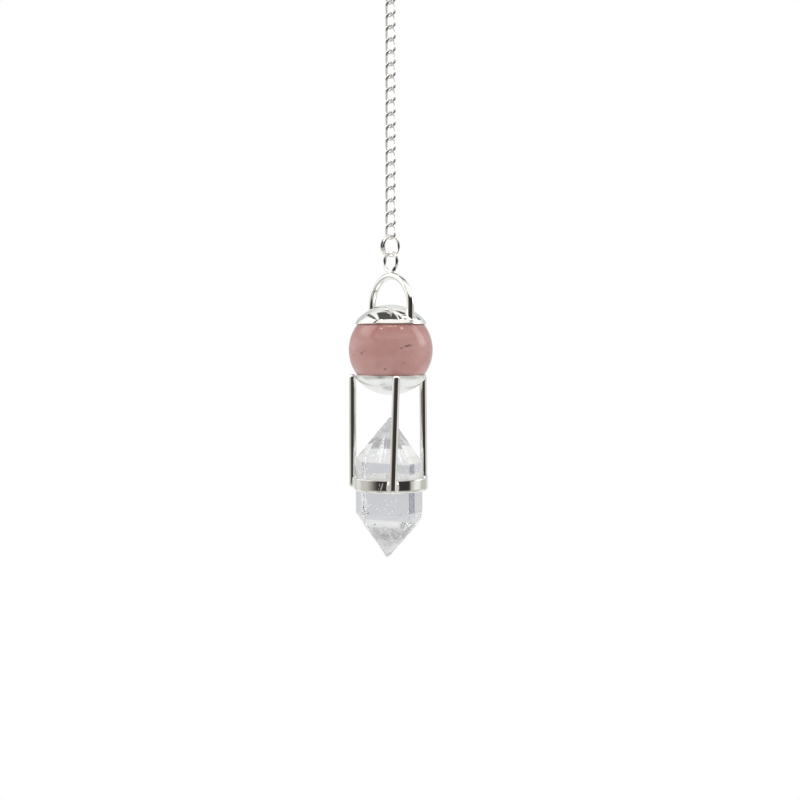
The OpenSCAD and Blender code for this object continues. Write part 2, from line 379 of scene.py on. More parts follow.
def rose_quartz():
    """Cloudy pink stone with pale veins and a few dark flecks, and painted shade that deepens its upper
    part.
    """
    material, t, where = new_material("rose_quartz")
    clouds = t.noise(where, ROSE_CLOUDS, 4.0, 0.55, 0.6)
    veins = t.noise(where, ROSE_VEINS, 5.0, 0.65, 1.2)
    pink = t.mix(t.step(clouds, 0.34, 0.68), rgb(0.465, 0.242, 0.222), rgb(0.50, 0.285, 0.262))
    pink = t.mix(t.step(veins, 0.55, 0.75, 0.0, 0.22), pink, rgb(0.60, 0.42, 0.40))
    z = t.add("ShaderNodeSeparateXYZ", {0: where}).outputs[2]
    # Painted shade: the ball is darkened towards its top
    upper = t.step(z, (BALL_Z + 1.6) * MM, (BALL_Z + 4.2) * MM, 0.0, 0.8)
    pink = t.mix(upper, pink, rgb(0.43, 0.19, 0.168))
    ragged = t.noise(where, ROSE_RAGGED, 3.0, 0.6)
    for across, up, side, sizes, strength in FLECKS:
        depth = side * math.sqrt(BALL_R**2 - across**2 - up**2)
        shift = tuple(-c * MM for c in (across, depth, up + BALL_Z))
        shares = tuple(1 / (s * MM) for s in sizes)
        about = t.add("ShaderNodeVectorMath", {0: where, 1: shift}, operation="ADD").outputs[0]
        scaled = t.add("ShaderNodeVectorMath", {0: about, 1: shares}, operation="MULTIPLY").outputs[0]
        far = t.add("ShaderNodeVectorMath", {0: scaled}, operation="LENGTH").outputs["Value"]
        edge = t.math("ADD", far, t.math("MULTIPLY", ragged, 1.1))
        pink = t.mix(t.step(edge, 0.95, 1.75, strength, 0.0), pink, rgb(0.10, 0.05, 0.05))
    fine = t.noise(where, ROSE_FINE, 2.0, 0.5)
    bump = t.add("ShaderNodeBump", {"Strength": 0.25, "Distance": 0.02 * MM, "Height": fine})
    t.surface({
        "Base Color": pink,
        "Roughness": t.step(veins, 0.3, 0.8, 0.07, 0.16),
        "IOR": QUARTZ_IOR,
        "Subsurface Weight": 0.25,
        "Subsurface Radius": (1.0, 0.5, 0.45),
        "Subsurface Scale": 1.2 * MM,
        "Normal": bump.outputs[0],
    })
    return material


def rock_crystal():
    """Clear quartz that is slightly milky, more so in clouds.

    The faint glow stands for light that the milky inside scatters, so corners stay pale.
    """
    material, t, where = new_material("rock_crystal")
    clouds = t.noise(where, CRYSTAL_CLOUDS, 3.0, 0.5)
    tint = t.mix(t.step(clouds, 0.35, 0.7), rgb(0.975, 0.98, 0.99), rgb(0.985, 0.985, 0.975))
    waves = t.noise(where, CRYSTAL_WAVES, 2.0, 0.4)
    bump = t.add("ShaderNodeBump", {"Strength": 0.35, "Distance": 0.03 * MM, "Height": waves})
    t.surface({
        "Base Color": tint,
        "Roughness": t.step(clouds, 0.3, 0.8, 0.01, 0.05),
        "IOR": QUARTZ_IOR,
        "Transmission Weight": t.step(clouds, 0.3, 0.75, 0.95, 0.88),
        "Emission Color": rgb(0.96, 0.97, 1.0),
        "Emission Strength": 0.035,
        "Normal": bump.outputs[0],
    })
    return material


def glowing(t, colour, roughness, glow, cover=1.0):
    """Ends a material whose faint glow stands for the light that it scatters inside the crystal."""
    t.surface({
        "Base Color": colour,
        "Roughness": roughness,
        "Alpha": cover,
        "Emission Color": colour,
        "Emission Strength": glow,
    })


def film(name, dark, pale, low, high, most, glow):
    """A patchy, mostly clear film inside the crystal: a healed crack of tiny bubbles, and for the bluish
    patches a painted shade.
    """
    material, t, where = new_material(name)
    patches = t.noise(where, FILM_PATCHES, 5.0, 0.65, 0.8)
    fine = t.noise(where, FILM_FINE, 3.0, 0.6)
    cover = t.math("MULTIPLY", t.step(patches, low, high), t.step(fine, 0.35, 0.65, 0.3 * most, most))
    glowing(t, t.mix(fine, dark, pale), 0.6, glow, cover)
    return material


def milk():
    """A cloudy skin inside the crystal's two points, thickest at their tips and grey in the upper one."""
    material, t, where = new_material("quartz_milk")
    z = t.add("ShaderNodeSeparateXYZ", {0: where}).outputs[2]
    upper = t.step(z, (BALL_Z - 19.5) * MM, (BALL_Z - 15.5) * MM, 0.0, 0.36)
    lower = t.step(z, (BALL_Z - 37.0) * MM, (BALL_Z - 32.5) * MM, 0.5, 0.0)
    clouds = t.noise(where, MILK_CLOUDS, 3.0, 0.55)
    cover = t.math("MULTIPLY", t.math("ADD", upper, lower), t.step(clouds, 0.25, 0.6, 0.55, 1.0))
    colour = t.mix(t.step(lower, 0.0, 0.1), rgb(0.31, 0.31, 0.31), rgb(0.47, 0.47, 0.465))
    fine = t.noise(where, MILK_FINE, 4.0, 0.65)
    smudge = t.window(z, (BALL_Z - 35.9) * MM, (BALL_Z - 33.4) * MM, 0.5 * MM)
    smudge = t.math("MULTIPLY", smudge, t.step(fine, 0.38, 0.58, 0.25, 1.0))
    colour = t.mix(smudge, colour, rgb(0.2, 0.205, 0.2))
    cover = t.math("MAXIMUM", cover, t.math("MULTIPLY", smudge, 0.45))
    glowing(t, colour, 0.7, 0.9, cover)
    return material


def spotted(name, colour, darker, roughness, glow):
    """A mottled solid colour, for what lies inside the crystal."""
    material, t, where = new_material(name)
    mottle = t.noise(where, MOTTLE, 2.0, 0.5)
    glowing(t, t.mix(mottle, colour, darker), roughness, glow)
    return material


# The silver's dark spots are painted dark reflections on the eye and the coiled ring
SILVER = silver("silver", rgb(0.95, 0.94, 0.912), 0.04, 0.13, 0.5, painted_dark_reflections=rgb(0.07, 0.065, 0.06))
# The chain's dark colour is painted dark reflections on one side of each link
CHAIN_SILVER = silver("chain_silver", rgb(0.93, 0.925, 0.91), 0.04, 0.13, 0.5, painted_link_reflections=rgb(0.38, 0.37, 0.355))
SATIN = silver("satin_silver", rgb(0.955, 0.96, 0.95), 0.2, 0.3, 0.6)
ROSE = rose_quartz()
CLEAR = rock_crystal()
VEIL = film("quartz_veil", rgb(0.24, 0.24, 0.23), rgb(0.75, 0.75, 0.74), 0.42, 0.58, 0.8, 0.05)
FEATHER = film("quartz_feather", rgb(0.9, 0.9, 0.9), rgb(1, 1, 1), 0.34, 0.6, 0.85, 0.8)
# Painted shade: a dark bluish film for the dark stripe on the crystal's front right side
PAINTED_SHADE = film("quartz_painted_shade", rgb(0.04, 0.07, 0.15), rgb(0.14, 0.19, 0.31), 0.16, 0.42, 0.97, 0.25)
MILK = milk()
BUBBLE = spotted("quartz_bubble", rgb(0.97, 0.98, 1.0), rgb(0.9, 0.92, 0.95), 0.3, 0.55)
SPECK = spotted("quartz_speck", rgb(0.1, 0.09, 0.1), rgb(0.2, 0.18, 0.18), 0.6, 0.0)


# Chain

# Where the ends of a ring's wire meet, in degrees round it, and the groove's width
LINK_JOINT, END_RING_JOINT, GROOVE = 2, 180, 0.7


def seam_radii(angles, at, radius, depth):
    """A wire's radius with a fine groove where its two ends meet, as a share of it."""
    away = (np.asarray(angles) - at + 180) % 360 - 180
    return radius * (1 - depth * np.exp(-((away / GROOVE) ** 2)))


def ring_angles(steps, at):
    """Angles round a closed ring, closer together where its ends meet."""
    even = np.linspace(0, 360, steps, endpoint=False)
    close = at + np.array([-2.2, -1.4, -0.8, -0.3, 0.3, 0.8, 1.4, 2.2])
    away = np.abs((even - at + 180) % 360 - 180)
    return np.sort(np.concatenate([even[away > 3], close % 360]))


def circle(angles):
    """Places on an upright circle of radius 1, by the angle in degrees from +X."""
    a = np.radians(angles)
    return np.stack([np.cos(a), 0 * a, np.sin(a)], 1)


def link_path(angles):
    """The oval middle line of a link, which twists about its long axis as it rises."""
    a = np.radians(angles)
    straight = LINK_HALF_L - LINK_HALF_W
    total = 4 * straight + 2 * math.pi * LINK_HALF_W
    lengths = a / (2 * math.pi) * total
    across, up = [], []
    quarter = math.pi / 2 * LINK_HALF_W
    for s in lengths:
        s = s % total
        if s < straight:
            x, z = LINK_HALF_W, s
        elif s < straight + 2 * quarter:
            t = (s - straight) / LINK_HALF_W
            x, z = LINK_HALF_W * math.cos(t), straight + LINK_HALF_W * math.sin(t)
        elif s < 3 * straight + 2 * quarter:
            x, z = -LINK_HALF_W, straight - (s - straight - 2 * quarter)
        elif s < 3 * straight + 4 * quarter:
            t = (s - 3 * straight - 2 * quarter) / LINK_HALF_W
            x, z = -LINK_HALF_W * math.cos(t), -straight - LINK_HALF_W * math.sin(t)
        else:
            x, z = LINK_HALF_W, s - total
        across.append(x)
        up.append(z)
    across, up = np.array(across), np.array(up)
    turn = math.radians(LINK_TWIST / 2) * up / LINK_HALF_L
    return np.stack([across * np.cos(turn), across * np.sin(turn), up], 1)


def chain_link(i):
    """A link of the chain, with a fine groove where its ends meet."""
    angles = ring_angles(60, LINK_JOINT)
    path = link_path(angles)
    radii = seam_radii(angles, LINK_JOINT, LINK_WIRE / 2, 0.22)
    wire = sweep(path, radii, path, 14, closed=True)
    name = f"link_{i:02d}"
    at = (0, 0, FIRST_LINK_Z - (i - 1) * LINK_PITCH)
    piece(name + "_wire", [moved(wire, at)], "chain", CHAIN_SILVER, [name])


def end_ring():
    """The plain ring at the top, with a fine joint."""
    angles = ring_angles(96, END_RING_JOINT)
    path = END_RING_MID * circle(angles)
    radii = seam_radii(angles, END_RING_JOINT, END_RING_WIRE / 2, 0.16)
    points, faces = sweep(path, radii, path, 20, closed=True)
    points = turned(points, z=-LINK_TWIST / 2) + np.array([0, 0, END_RING_Z])
    piece("end_ring_wire", [(points, faces)], "chain", SILVER, ["end_ring"])


def jump_ring():
    """One and a half turns of wire, cut square at both ends."""
    half = COIL_SWEEP / 2
    turns = np.concatenate([[-half, -half + 0.4], np.linspace(-half + 2, half - 2, 150), [half - 0.4, half]])
    outward = circle(turns)
    path = JUMP_RING_MID * outward
    path[:, 1] = STRAND_PITCH * turns / 360
    radii = np.full(len(turns), JUMP_RING_WIRE / 2)
    radii[[0, -1]] *= 0.86
    points, faces = sweep(path, radii, outward, 18)
    points = turned(points, x=COIL_LEAN, z=BAIL_AZIMUTH) + np.array([0, 0, JUMP_RING_Z])
    piece("jump_ring_wire", [(points, faces)], "chain", SILVER, ["jump_ring"])


# Caps, bail and cage

def arc_points(r, start, end, steps, centre=(0, 0)):
    """Points on an arc in a profile, by the angle from straight up."""
    return [
        (centre[0] + r * math.sin(a), centre[1] + r * math.cos(a))
        for a in np.radians(np.linspace(start, end, steps))
    ]


# The cap's rim is eased over this width and rounded to this radius
RIM_EASE, RIM_EDGE = 0.2, 0.06
SKIRT = 0.32


def cap_profile():
    """The shell of a cap over the ball, with a softly rounded rim."""
    shoulder = math.degrees(math.asin((RIM_R - RIM_EASE) / CAP_R))
    seat = math.degrees(math.acos((RIM_Z + 0.02) / SEAT_R))
    outer = arc_points(CAP_R, 0, shoulder - 0.5, 44) + arc_points(CAP_R, shoulder - 0.2, shoulder, 2)
    rim = arc_points(RIM_EDGE, 68, 180, 6, (RIM_R - RIM_EDGE, RIM_Z + RIM_EDGE))
    inner = arc_points(SEAT_R, seat, 0, 30)
    return outer + rim + [(inner[0][0] + 0.05, RIM_Z)] + inner


def solder_skirt(foot, reach):
    """A concave ring of solder where an upright of the bail meets the cap."""
    wire = BAIL_WIRE / 2
    section = [(wire - 0.25, reach), (wire - 0.01, reach)]
    for a in np.radians(np.linspace(10, 90, 8)):
        section.append((wire + reach - reach * math.cos(a), reach - reach * math.sin(a)))
    section += [(wire + reach - 0.06, -0.2), (wire - 0.25, -0.2)]
    points, count = [], 36
    for k in range(count):
        a = 2 * math.pi * k / count
        for far, up in section:
            x, y = foot + far * math.cos(a), far * math.sin(a)
            r = math.hypot(x, y)
            if r > RIM_R - RIM_EDGE:
                x, y = x * (RIM_R - RIM_EDGE) / r, y * (RIM_R - RIM_EDGE) / r
            points.append((x, y, math.sqrt(CAP_R**2 - x * x - y * y) + up))
    return np.array(points), grid_faces(count, len(section), True)


def upper_cap():
    """The upper cap with its bail, the eye on top, and the solder between them."""
    parts = [lathe(cap_profile(), CAP_SEGMENTS)]
    arch = BAIL_R * circle(np.linspace(0, 180, 72)) + np.array([0, 0, BAIL_RISE])
    foot_z = math.sqrt(CAP_R**2 - (BAIL_R + BAIL_WIRE / 2) ** 2)
    down = np.linspace(BAIL_RISE, foot_z, 7)[1:]
    right = np.stack([0 * down + BAIL_R, 0 * down, down], 1)
    left = right * np.array([-1, 1, 1])
    path = np.concatenate([right[::-1], arch, left])
    bail = sweep(path, BAIL_WIRE / 2, np.array([0, 1.0, 0]), 28)
    loop = EYE_MID * circle(np.linspace(0, 360, 72, endpoint=False))
    eye = moved(sweep(loop, EYE_WIRE / 2, loop, 20, closed=True), (0, 0, EYE_Z - BALL_Z))
    bead = blob((0, 0, BAIL_TOP - BALL_Z - 0.06), (0.98, 0.5, 0.4))
    skirts = [solder_skirt(side * BAIL_R, SKIRT) for side in (-1, 1)]
    for p, f in [bail, eye, bead, *skirts]:
        parts.append((turned(p, z=BAIL_AZIMUTH - 90), f))
    piece("cap_and_bail", about_ball(parts), "pendant", SILVER, ["upper_cap"])


def collar_profile():
    """The band round the crystal: a rounded upper lip, and a lower edge that turns in."""
    t, b = COLLAR_TOP, COLLAR_BOTTOM
    i, o = COLLAR_IN, COLLAR_OUT
    return [
        (i, b + 0.5), (i, t - 0.12), (i + 0.03, t - 0.04), (i + 0.1, t), (o - 0.1, t),
        (o - 0.03, t - 0.03), (o, t - 0.1), (o, t - 0.16), (o, b + 0.66), (o, b + 0.6), (o - 0.025, b + 0.4),
        (o - 0.08, b + 0.22), (o - 0.16, b + 0.08), (o - 0.26, b), (i - 0.02, b), (i - 0.05, b + 0.06),
        (i - 0.04, b + 0.2),
    ]


def leg_at(azimuths, z):
    """The middle of a leg at a height about the ball's centre."""
    low_z = (COLLAR_TOP + COLLAR_BOTTOM) / 2
    top = on_circle(LEG_CAP_R, azimuths[0], -RIM_Z)
    low = on_circle(LEG_COLLAR_R, azimuths[1], low_z)
    return top + (low - top) * (z + RIM_Z) / (low_z + RIM_Z)


def leg(azimuths):
    """A straight wire with a rounded top and a blunt point at its foot."""
    r = LEG_WIRE / 2
    path, radii = [], []
    for a in np.radians(np.linspace(4, 90, 9)):
        path.append(leg_at(azimuths, LEG_TOP - r + r * math.cos(a)))
        radii.append(r * math.sin(a))
    for z in np.linspace(LEG_TOP - r, LEG_BOTTOM + 0.8, 24)[1:]:
        path.append(leg_at(azimuths, z))
        radii.append(r)
    for up, share in ((0.6, 0.975), (0.42, 0.9), (0.25, 0.76), (0.1, 0.55), (0.02, 0.36), (0, 0.2)):
        path.append(leg_at(azimuths, LEG_BOTTOM + up))
        radii.append(r * share)
    return sweep(np.array(path), np.array(radii), on_circle(1.0, azimuths[1], 0), 22)


def gusset(azimuth):
    """Solder that fills the corners between a leg and the collar, steep at the leg's sides."""
    half = LEG_WIRE / 2
    rings = []
    for z, wide, out in (
        (COLLAR_TOP - 0.06, 0.86, 0.3), (COLLAR_TOP - 0.2, 1.08, 0.52), (COLLAR_TOP - 0.8, 1.2, 0.6),
        (COLLAR_BOTTOM + 1.0, 1.24, 0.6), (COLLAR_BOTTOM + 0.55, 1.14, 0.5), (COLLAR_BOTTOM + 0.3, 0.9, 0.3),
    ):
        section = (
            (-wide, -0.06), (-wide * 0.9, 0.1), (-half * 1.04, out * 0.72), (-half * 0.86, out),
            (half * 0.86, out), (half * 1.04, out * 0.72), (wide * 0.9, 0.1), (wide, -0.06), (0, -0.2),
        )
        rings.append([(x, -COLLAR_OUT - y + 0.5 * x * x / COLLAR_OUT, z) for x, y in section])
    count = len(rings[0])
    points = np.array(rings).reshape(-1, 3)
    faces = grid_faces(len(rings), count, False)
    faces.append(tuple(range(count - 1, -1, -1)))
    faces.append(tuple((len(rings) - 1) * count + k for k in range(count)))
    return turned(points, z=azimuth), faces


def stray_solder():
    """Stray solder beside the joint in the collar: a slanting run and a few small lumps."""
    run = ((-11.2, -24.75), (-11.9, -25.05), (-13.4, -25.5), (-14.2, -25.85), (-15.4, -26.2), (-15.6, -26.6))
    path = np.array([on_circle(COLLAR_OUT - 0.02, azimuth, z) for azimuth, z in run])
    width = np.interp(np.linspace(0, 1, len(run)), (0, 0.25, 0.7, 1), (0.04, 0.12, 0.09, 0.03))
    made = [sweep(path, width, on_circle(1.0, -14, 0), 10)]
    for azimuth, z, wide, tall in ((-17.0, -25.3, 0.09, 0.26), (-18.4, -26.0, 0.06, 0.1)):
        made.append(blob(on_circle(COLLAR_OUT - 0.01, azimuth, z), (wide, 0.07, tall), azimuth, 12))
    return made


def cage():
    """The lower cap, which has a satin finish, and the legs and the collar that are soldered to it."""
    cap, faces = lathe(cap_profile(), CAP_SEGMENTS)
    lower = (cap * np.array([1, 1, -1]), faces)
    piece("lower_cap", about_ball([lower]), "pendant", SATIN, ["cage"])
    parts = [lathe(collar_profile(), CAP_SEGMENTS, closed=True)]
    for azimuths in LEG_AZIMUTHS:
        parts.append(leg(azimuths))
        parts.append(gusset(azimuths[1]))
        rim = on_circle(RIM_R + 0.02, azimuths[0], -RIM_Z - 0.16)
        parts.append(blob(rim, (0.95, 0.22, 0.2), azimuths[0]))
    parts += stray_solder()
    piece("legs_and_collar", about_ball(parts), "pendant", SILVER, ["cage"])


def ball():
    points, faces = lathe(half_circle(BALL_STEPS), BALL_SEGMENTS)
    stone = (points * BALL_R, faces)
    piece("rose_ball", about_ball([stone]), "pendant", ROSE, ["ball"])


# Crystal

def facets():
    """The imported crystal's own facets, each joined into one flat face."""
    bm = bmesh.new()
    bm.from_mesh(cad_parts["crystal"].data)
    bmesh.ops.remove_doubles(bm, verts=bm.verts, dist=1e-7)
    hull = bmesh.ops.convex_hull(bm, input=bm.verts)
    loose = {g for g in hull["geom_interior"] + hull["geom_unused"] if isinstance(g, bmesh.types.BMVert)}
    bmesh.ops.delete(bm, geom=list(loose), context="VERTS")
    bmesh.ops.dissolve_limit(bm, angle_limit=math.radians(0.6), verts=bm.verts, edges=bm.edges)
    return bm


def crystal():
    """The crystal with its edges eased."""
    bm = facets()
    bmesh.ops.bevel(
        bm, geom=list(bm.edges), offset=CRYSTAL_EDGE * MM, offset_type="OFFSET", segments=2, profile=0.5,
        affect="EDGES", clamp_overlap=True,
    )
    bmesh.ops.recalc_face_normals(bm, faces=bm.faces)
    mesh = bpy.data.meshes.new("crystal_body")
    bm.to_mesh(mesh)
    bm.free()
    finished("crystal_body", mesh, "pendant", CLEAR, ["crystal"], CRYSTAL_EDGE_ANGLE)


def milky_points():
    """The cloudy skin: the facets of both points, drawn in a little."""
    bm = facets()
    sides = [face for face in bm.faces if abs(face.normal.z) < 0.2]
    bmesh.ops.delete(bm, geom=sides, context="FACES")
    middle = Vector((0, 0, (BALL_Z + CRYSTAL_MIDDLE) * MM))
    for vert in bm.verts:
        vert.co = middle + (vert.co - middle) * MILK_SHARE
    mesh = bpy.data.meshes.new("crystal_milk")
    bm.to_mesh(mesh)
    bm.free()
    finished("crystal_milk", mesh, "pendant", MILK, (), CRYSTAL_EDGE_ANGLE)


# Small things inside the crystal, about the ball's centre: place and size
BUBBLES = (
    (-5.3, -3.5, -22.3, 0.13), (-4.45, -3.75, -22.5, 0.16), (-3.1, -3.9, -23.5, 0.2),
    (-3.4, -3.8, -23.7, 0.1), (-4.2, -3.8, -29.5, 0.16), (-3.8, -3.6, -29.3, 0.12),
    (-4.5, -3.7, -29.7, 0.1), (-0.9, -4.4, -28.4, 0.13), (0.2, -4.5, -28.7, 0.12),
    (-0.6, -4.3, -29.3, 0.1), (-1.0, -4.3, -30.1, 0.15), (0.3, -4.4, -30.5, 0.13),
    (-0.3, -4.2, -31.0, 0.12), (-2.0, -4.2, -30.4, 0.09), (0.9, -4.5, -29.6, 0.08),
    (1.6, 2.0, -29.0, 0.12), (-2.2, 2.8, -30.6, 0.11), (3.1, 1.2, -23.4, 0.1),
    (-1.0, 1.4, -22.0, 0.09),
)
SPECKS = (
    (-5.1, -3.55, -29.9, 0.19), (-4.3, -3.75, -30.95, 0.16), (-3.0, -3.1, -33.2, 0.18),
    (-4.9, -3.6, -30.2, 0.09), (2.3, 2.6, -31.7, 0.1), (4.1, -0.6, -22.9, 0.07),
)

# Films low in the crystal: centre, half sizes, lean and azimuth
VEILS = (
    ((-0.4, -1.2, -35.2), 3.2, 2.0, 58, 6),
    ((0.5, 0.5, -36.3), 2.2, 1.9, 35, -38),
    ((-0.7, 0.2, -37.0), 1.5, 1.7, 78, 64),
)

# Flaws under the upper point's front facet: top, foot, width and depth under it
FEATHERS = (
    ((-1.2, -16.4), (-2.1, -21.3), 0.3, 0.22),
    ((-1.75, -17.4), (-2.75, -21.0), 0.16, 0.3),
    ((-0.8, -17.8), (-1.2, -21.2), 0.14, 0.4),
    ((1.2, -18.4), (2.1, -21.5), 0.3, 0.22),
    ((1.9, -19.0), (3.1, -21.3), 0.15, 0.35),
    ((-2.9, -19.6), (-4.3, -21.2), 0.12, 0.25),
)

# Painted shade: bluish patches on the side that faces front right: bottom, top, and their start and end
# along it
SHADES = ((-30.9, -27.0, 0.0, 0.42), (-23.6, -21.6, 0.03, 0.4))
SHADED_SIDE = (35.5, 77)


def inclusions():
    """Bubbles and dark specks in the crystal."""
    dots = [blob((x, y, z), (s, s, s * 0.8), segments=12) for x, y, z, s in BUBBLES]
    piece("crystal_bubbles", about_ball(dots), "pendant", BUBBLE)
    dots = [blob((x, y, z), (s, s * 0.7, s), 30 * i, 10) for i, (x, y, z, s) in enumerate(SPECKS)]
    piece("crystal_specks", about_ball(dots), "pendant", SPECK)


def inside_tip(p):
    """Whether a point is well inside the crystal's lower point."""
    share = (p[2] - LOWER_TIP) / LOWER_POINT_H
    return math.hypot(p[0] + 0.6 * (1 - share), p[1]) < 4.6 * min(share, 1) - 0.25


def veils():
    """Wavy films low in the crystal, where its tip is cloudy."""
    sheets, count = [], 24
    for centre, half_u, half_v, lean, azimuth in VEILS:
        u, v = np.meshgrid(np.linspace(-1, 1, count), np.linspace(-1, 1, count), indexing="ij")
        wave = 0.35 * np.sin(3.1 * u + 1.7 * v) + 0.2 * np.sin(6.3 * v - 2.2 * u) + 0.12 * np.sin(9 * u * v)
        points = np.stack([half_u * u, half_v * v, wave], -1).reshape(-1, 3)
        points = turned(points, x=lean, z=azimuth) + np.array(centre)
        faces = [f for f in sheet_faces(count, count) if all(inside_tip(points[p]) for p in f)]
        sheets.append((points, faces))
    piece("crystal_veils", about_ball(sheets), "pendant", VEIL)


# The upper point's tip, and the way that its front facet faces: across, forward and up
TIP_X, TIP_Z = -0.07, -12.82
FACING_ACROSS, FACING_FORWARD, FACING_UP = -10.8, 79.4, 42.5


def under_front_facet(x, z, depth):
    """The y of a place that lies a little under the upper point's front facet."""
    return (FACING_ACROSS * (x - TIP_X) + FACING_UP * (z - TIP_Z)) / FACING_FORWARD + depth


def feathers():
    """Slender white flaws that run down under the upper point's front facet."""
    sheets, rows, across = [], 14, 7
    for top, foot, width, depth in FEATHERS:
        points = []
        for v in np.linspace(0, 1, rows):
            for u in np.linspace(-1, 1, across):
                x = top[0] + (foot[0] - top[0]) * v + u * width * math.sin(math.pi * (0.08 + 0.8 * v))
                z = top[1] + (foot[1] - top[1]) * v
                points.append((x, under_front_facet(x, z, depth) + 0.05 * math.sin(7 * v + 2 * u), z))
        sheets.append((np.array(points), sheet_faces(rows, across)))
    piece("crystal_feathers", about_ball(sheets), "pendant", FEATHER)


def shades():
    """Two bluish, half-clear patches of painted shade just under the crystal's face on the front right."""
    sheets, rows, across = [], 9, 5
    for low, high, start, end in SHADES:
        points = []
        for z in np.linspace(low, high, rows):
            for share in np.linspace(start, end, across):
                corner, following = [on_circle(CRYSTAL_R, azimuth, z) for azimuth in SHADED_SIDE]
                place = corner + (following - corner) * share
                points.append(place * np.array([0.972, 0.972, 1]) - np.array([CRYSTAL_SHIFT, 0, 0]))
        sheets.append((np.array(points), sheet_faces(rows, across)))
    piece("crystal_painted_shades", about_ball(sheets), "pendant", PAINTED_SHADE)


# Camera, floor and light

# Metres, except the lens and its sensor, in millimetres, and the shift, in the photo's pixels
PHOTO_SIDE = 800
LENS, SENSOR = 49.5, 36
SHIFT_ACROSS, SHIFT_UP = 9.7, -50.3
CAMERA_ACROSS, CAMERA_AWAY = -0.00008, 0.212
FLOOR_HALF, FLOOR_Z = 3, -0.18


def camera():
    """The photo's view: level with the ball, and shifted to the photo's framing."""
    data = bpy.data.cameras.new("camera")
    data.sensor_width, data.lens = SENSOR, LENS
    data.shift_x, data.shift_y = SHIFT_ACROSS / PHOTO_SIDE, SHIFT_UP / PHOTO_SIDE
    data.clip_start, data.clip_end = 0.005, 20
    obj = bpy.data.objects.new("camera", data)
    obj.location = (CAMERA_ACROSS, -CAMERA_AWAY, BALL_Z * MM)
    obj.rotation_euler = (math.radians(90), 0, 0)
    bpy.context.scene.collection.objects.link(obj)
    bpy.context.scene.camera = obj


def floor():
    """A pale floor under the hanging piece. It is bright enough to meet the backdrop with no edge."""
    material = bpy.data.materials.new("floor")
    t = Tree(material)
    glow = t.add("ShaderNodeEmission", {"Color": rgb(1, 1, 1), "Strength": 1.0})
    clear = t.add("ShaderNodeBsdfTransparent")
    seen = t.add("ShaderNodeLightPath").outputs["Is Camera Ray"]
    back = t.add("ShaderNodeNewGeometry").outputs["Backfacing"]
    shown = t.math("MULTIPLY", seen, t.math("SUBTRACT", 1.0, back))
    both = t.add("ShaderNodeMixShader", {0: shown, 1: clear.outputs[0], 2: glow.outputs[0]})
    t.add("ShaderNodeOutputMaterial", {"Surface": both.outputs[0]})
    mesh = bpy.data.meshes.new("floor")
    corners = [(x * FLOOR_HALF, y * FLOOR_HALF, 0) for x, y in ((-1, -1), (1, -1), (1, 1), (-1, 1))]
    mesh.from_pydata(corners, [], [(0, 1, 2, 3)])
    mesh.materials.append(material)
    obj = bpy.data.objects.new("floor", mesh)
    obj.location = (0, 0, FLOOR_Z)
    bpy.context.scene.collection.objects.link(obj)


def line_light(t, across, up, start, end, half_width):
    """1 on a straight strip between two places in the overhead plane, and 0 beside it."""
    (u0, v0), (u1, v1) = start, end
    length = math.hypot(u1 - u0, v1 - v0)
    cu, cv = (u1 - u0) / length, (v1 - v0) / length
    du, dv = t.math("SUBTRACT", across, u0), t.math("SUBTRACT", up, v0)
    along = t.math("ADD", t.math("MULTIPLY", du, cu), t.math("MULTIPLY", dv, cv))
    beside = t.math("SUBTRACT", t.math("MULTIPLY", du, -cv), t.math("MULTIPLY", dv, -cu))
    soft = half_width * 0.35
    strip = t.window(beside, -half_width, half_width, soft)
    return t.math("MULTIPLY", strip, t.window(along, 0, length, soft))


# Paler and darker parts of the tent: azimuth and height, each from, to and softness, and colour
TENT_PARTS = (
    ((-166, -136, 6), (12, 36, 5), rgb(0.6, 0.62, 0.62)),
    ((-134, -98, 8), (-1, 15, 3), rgb(1.15, 1.2, 1.25)),
    ((-134, -106, 8), (-13, -2, 3), rgb(0.76, 0.76, 0.74)),
    ((76, 104, 6), (-13, -2, 3), rgb(0.86, 0.87, 0.87)),
)

# Dark creases of the tent, in the same order
CREASES = (
    ((-64, -54, 3), (26, 60, 3), rgb(0.12, 0.12, 0.115)),
    ((137, 148, 2), (29, 37, 2), rgb(0.10, 0.14, 0.18)),
)

# Small bright lamps near the top: azimuth and height of the middle
LAMPS = ((-44, 57), (50, 56))

# Bright strips across the dark overhead opening: start, end and half width in the overhead plane
STRIPS = (
    ((-0.05, 0.75), (0.5, -0.08), 0.045),
    ((0.02, 0.5), (0.3, -0.12), 0.025),
    ((-0.36, 0.62), (0.02, 0.36), 0.03),
)


def azimuth_of(t, x, y):
    return t.math("DEGREES", t.math("ARCTAN2", x, t.math("MULTIPLY", y, -1.0)))


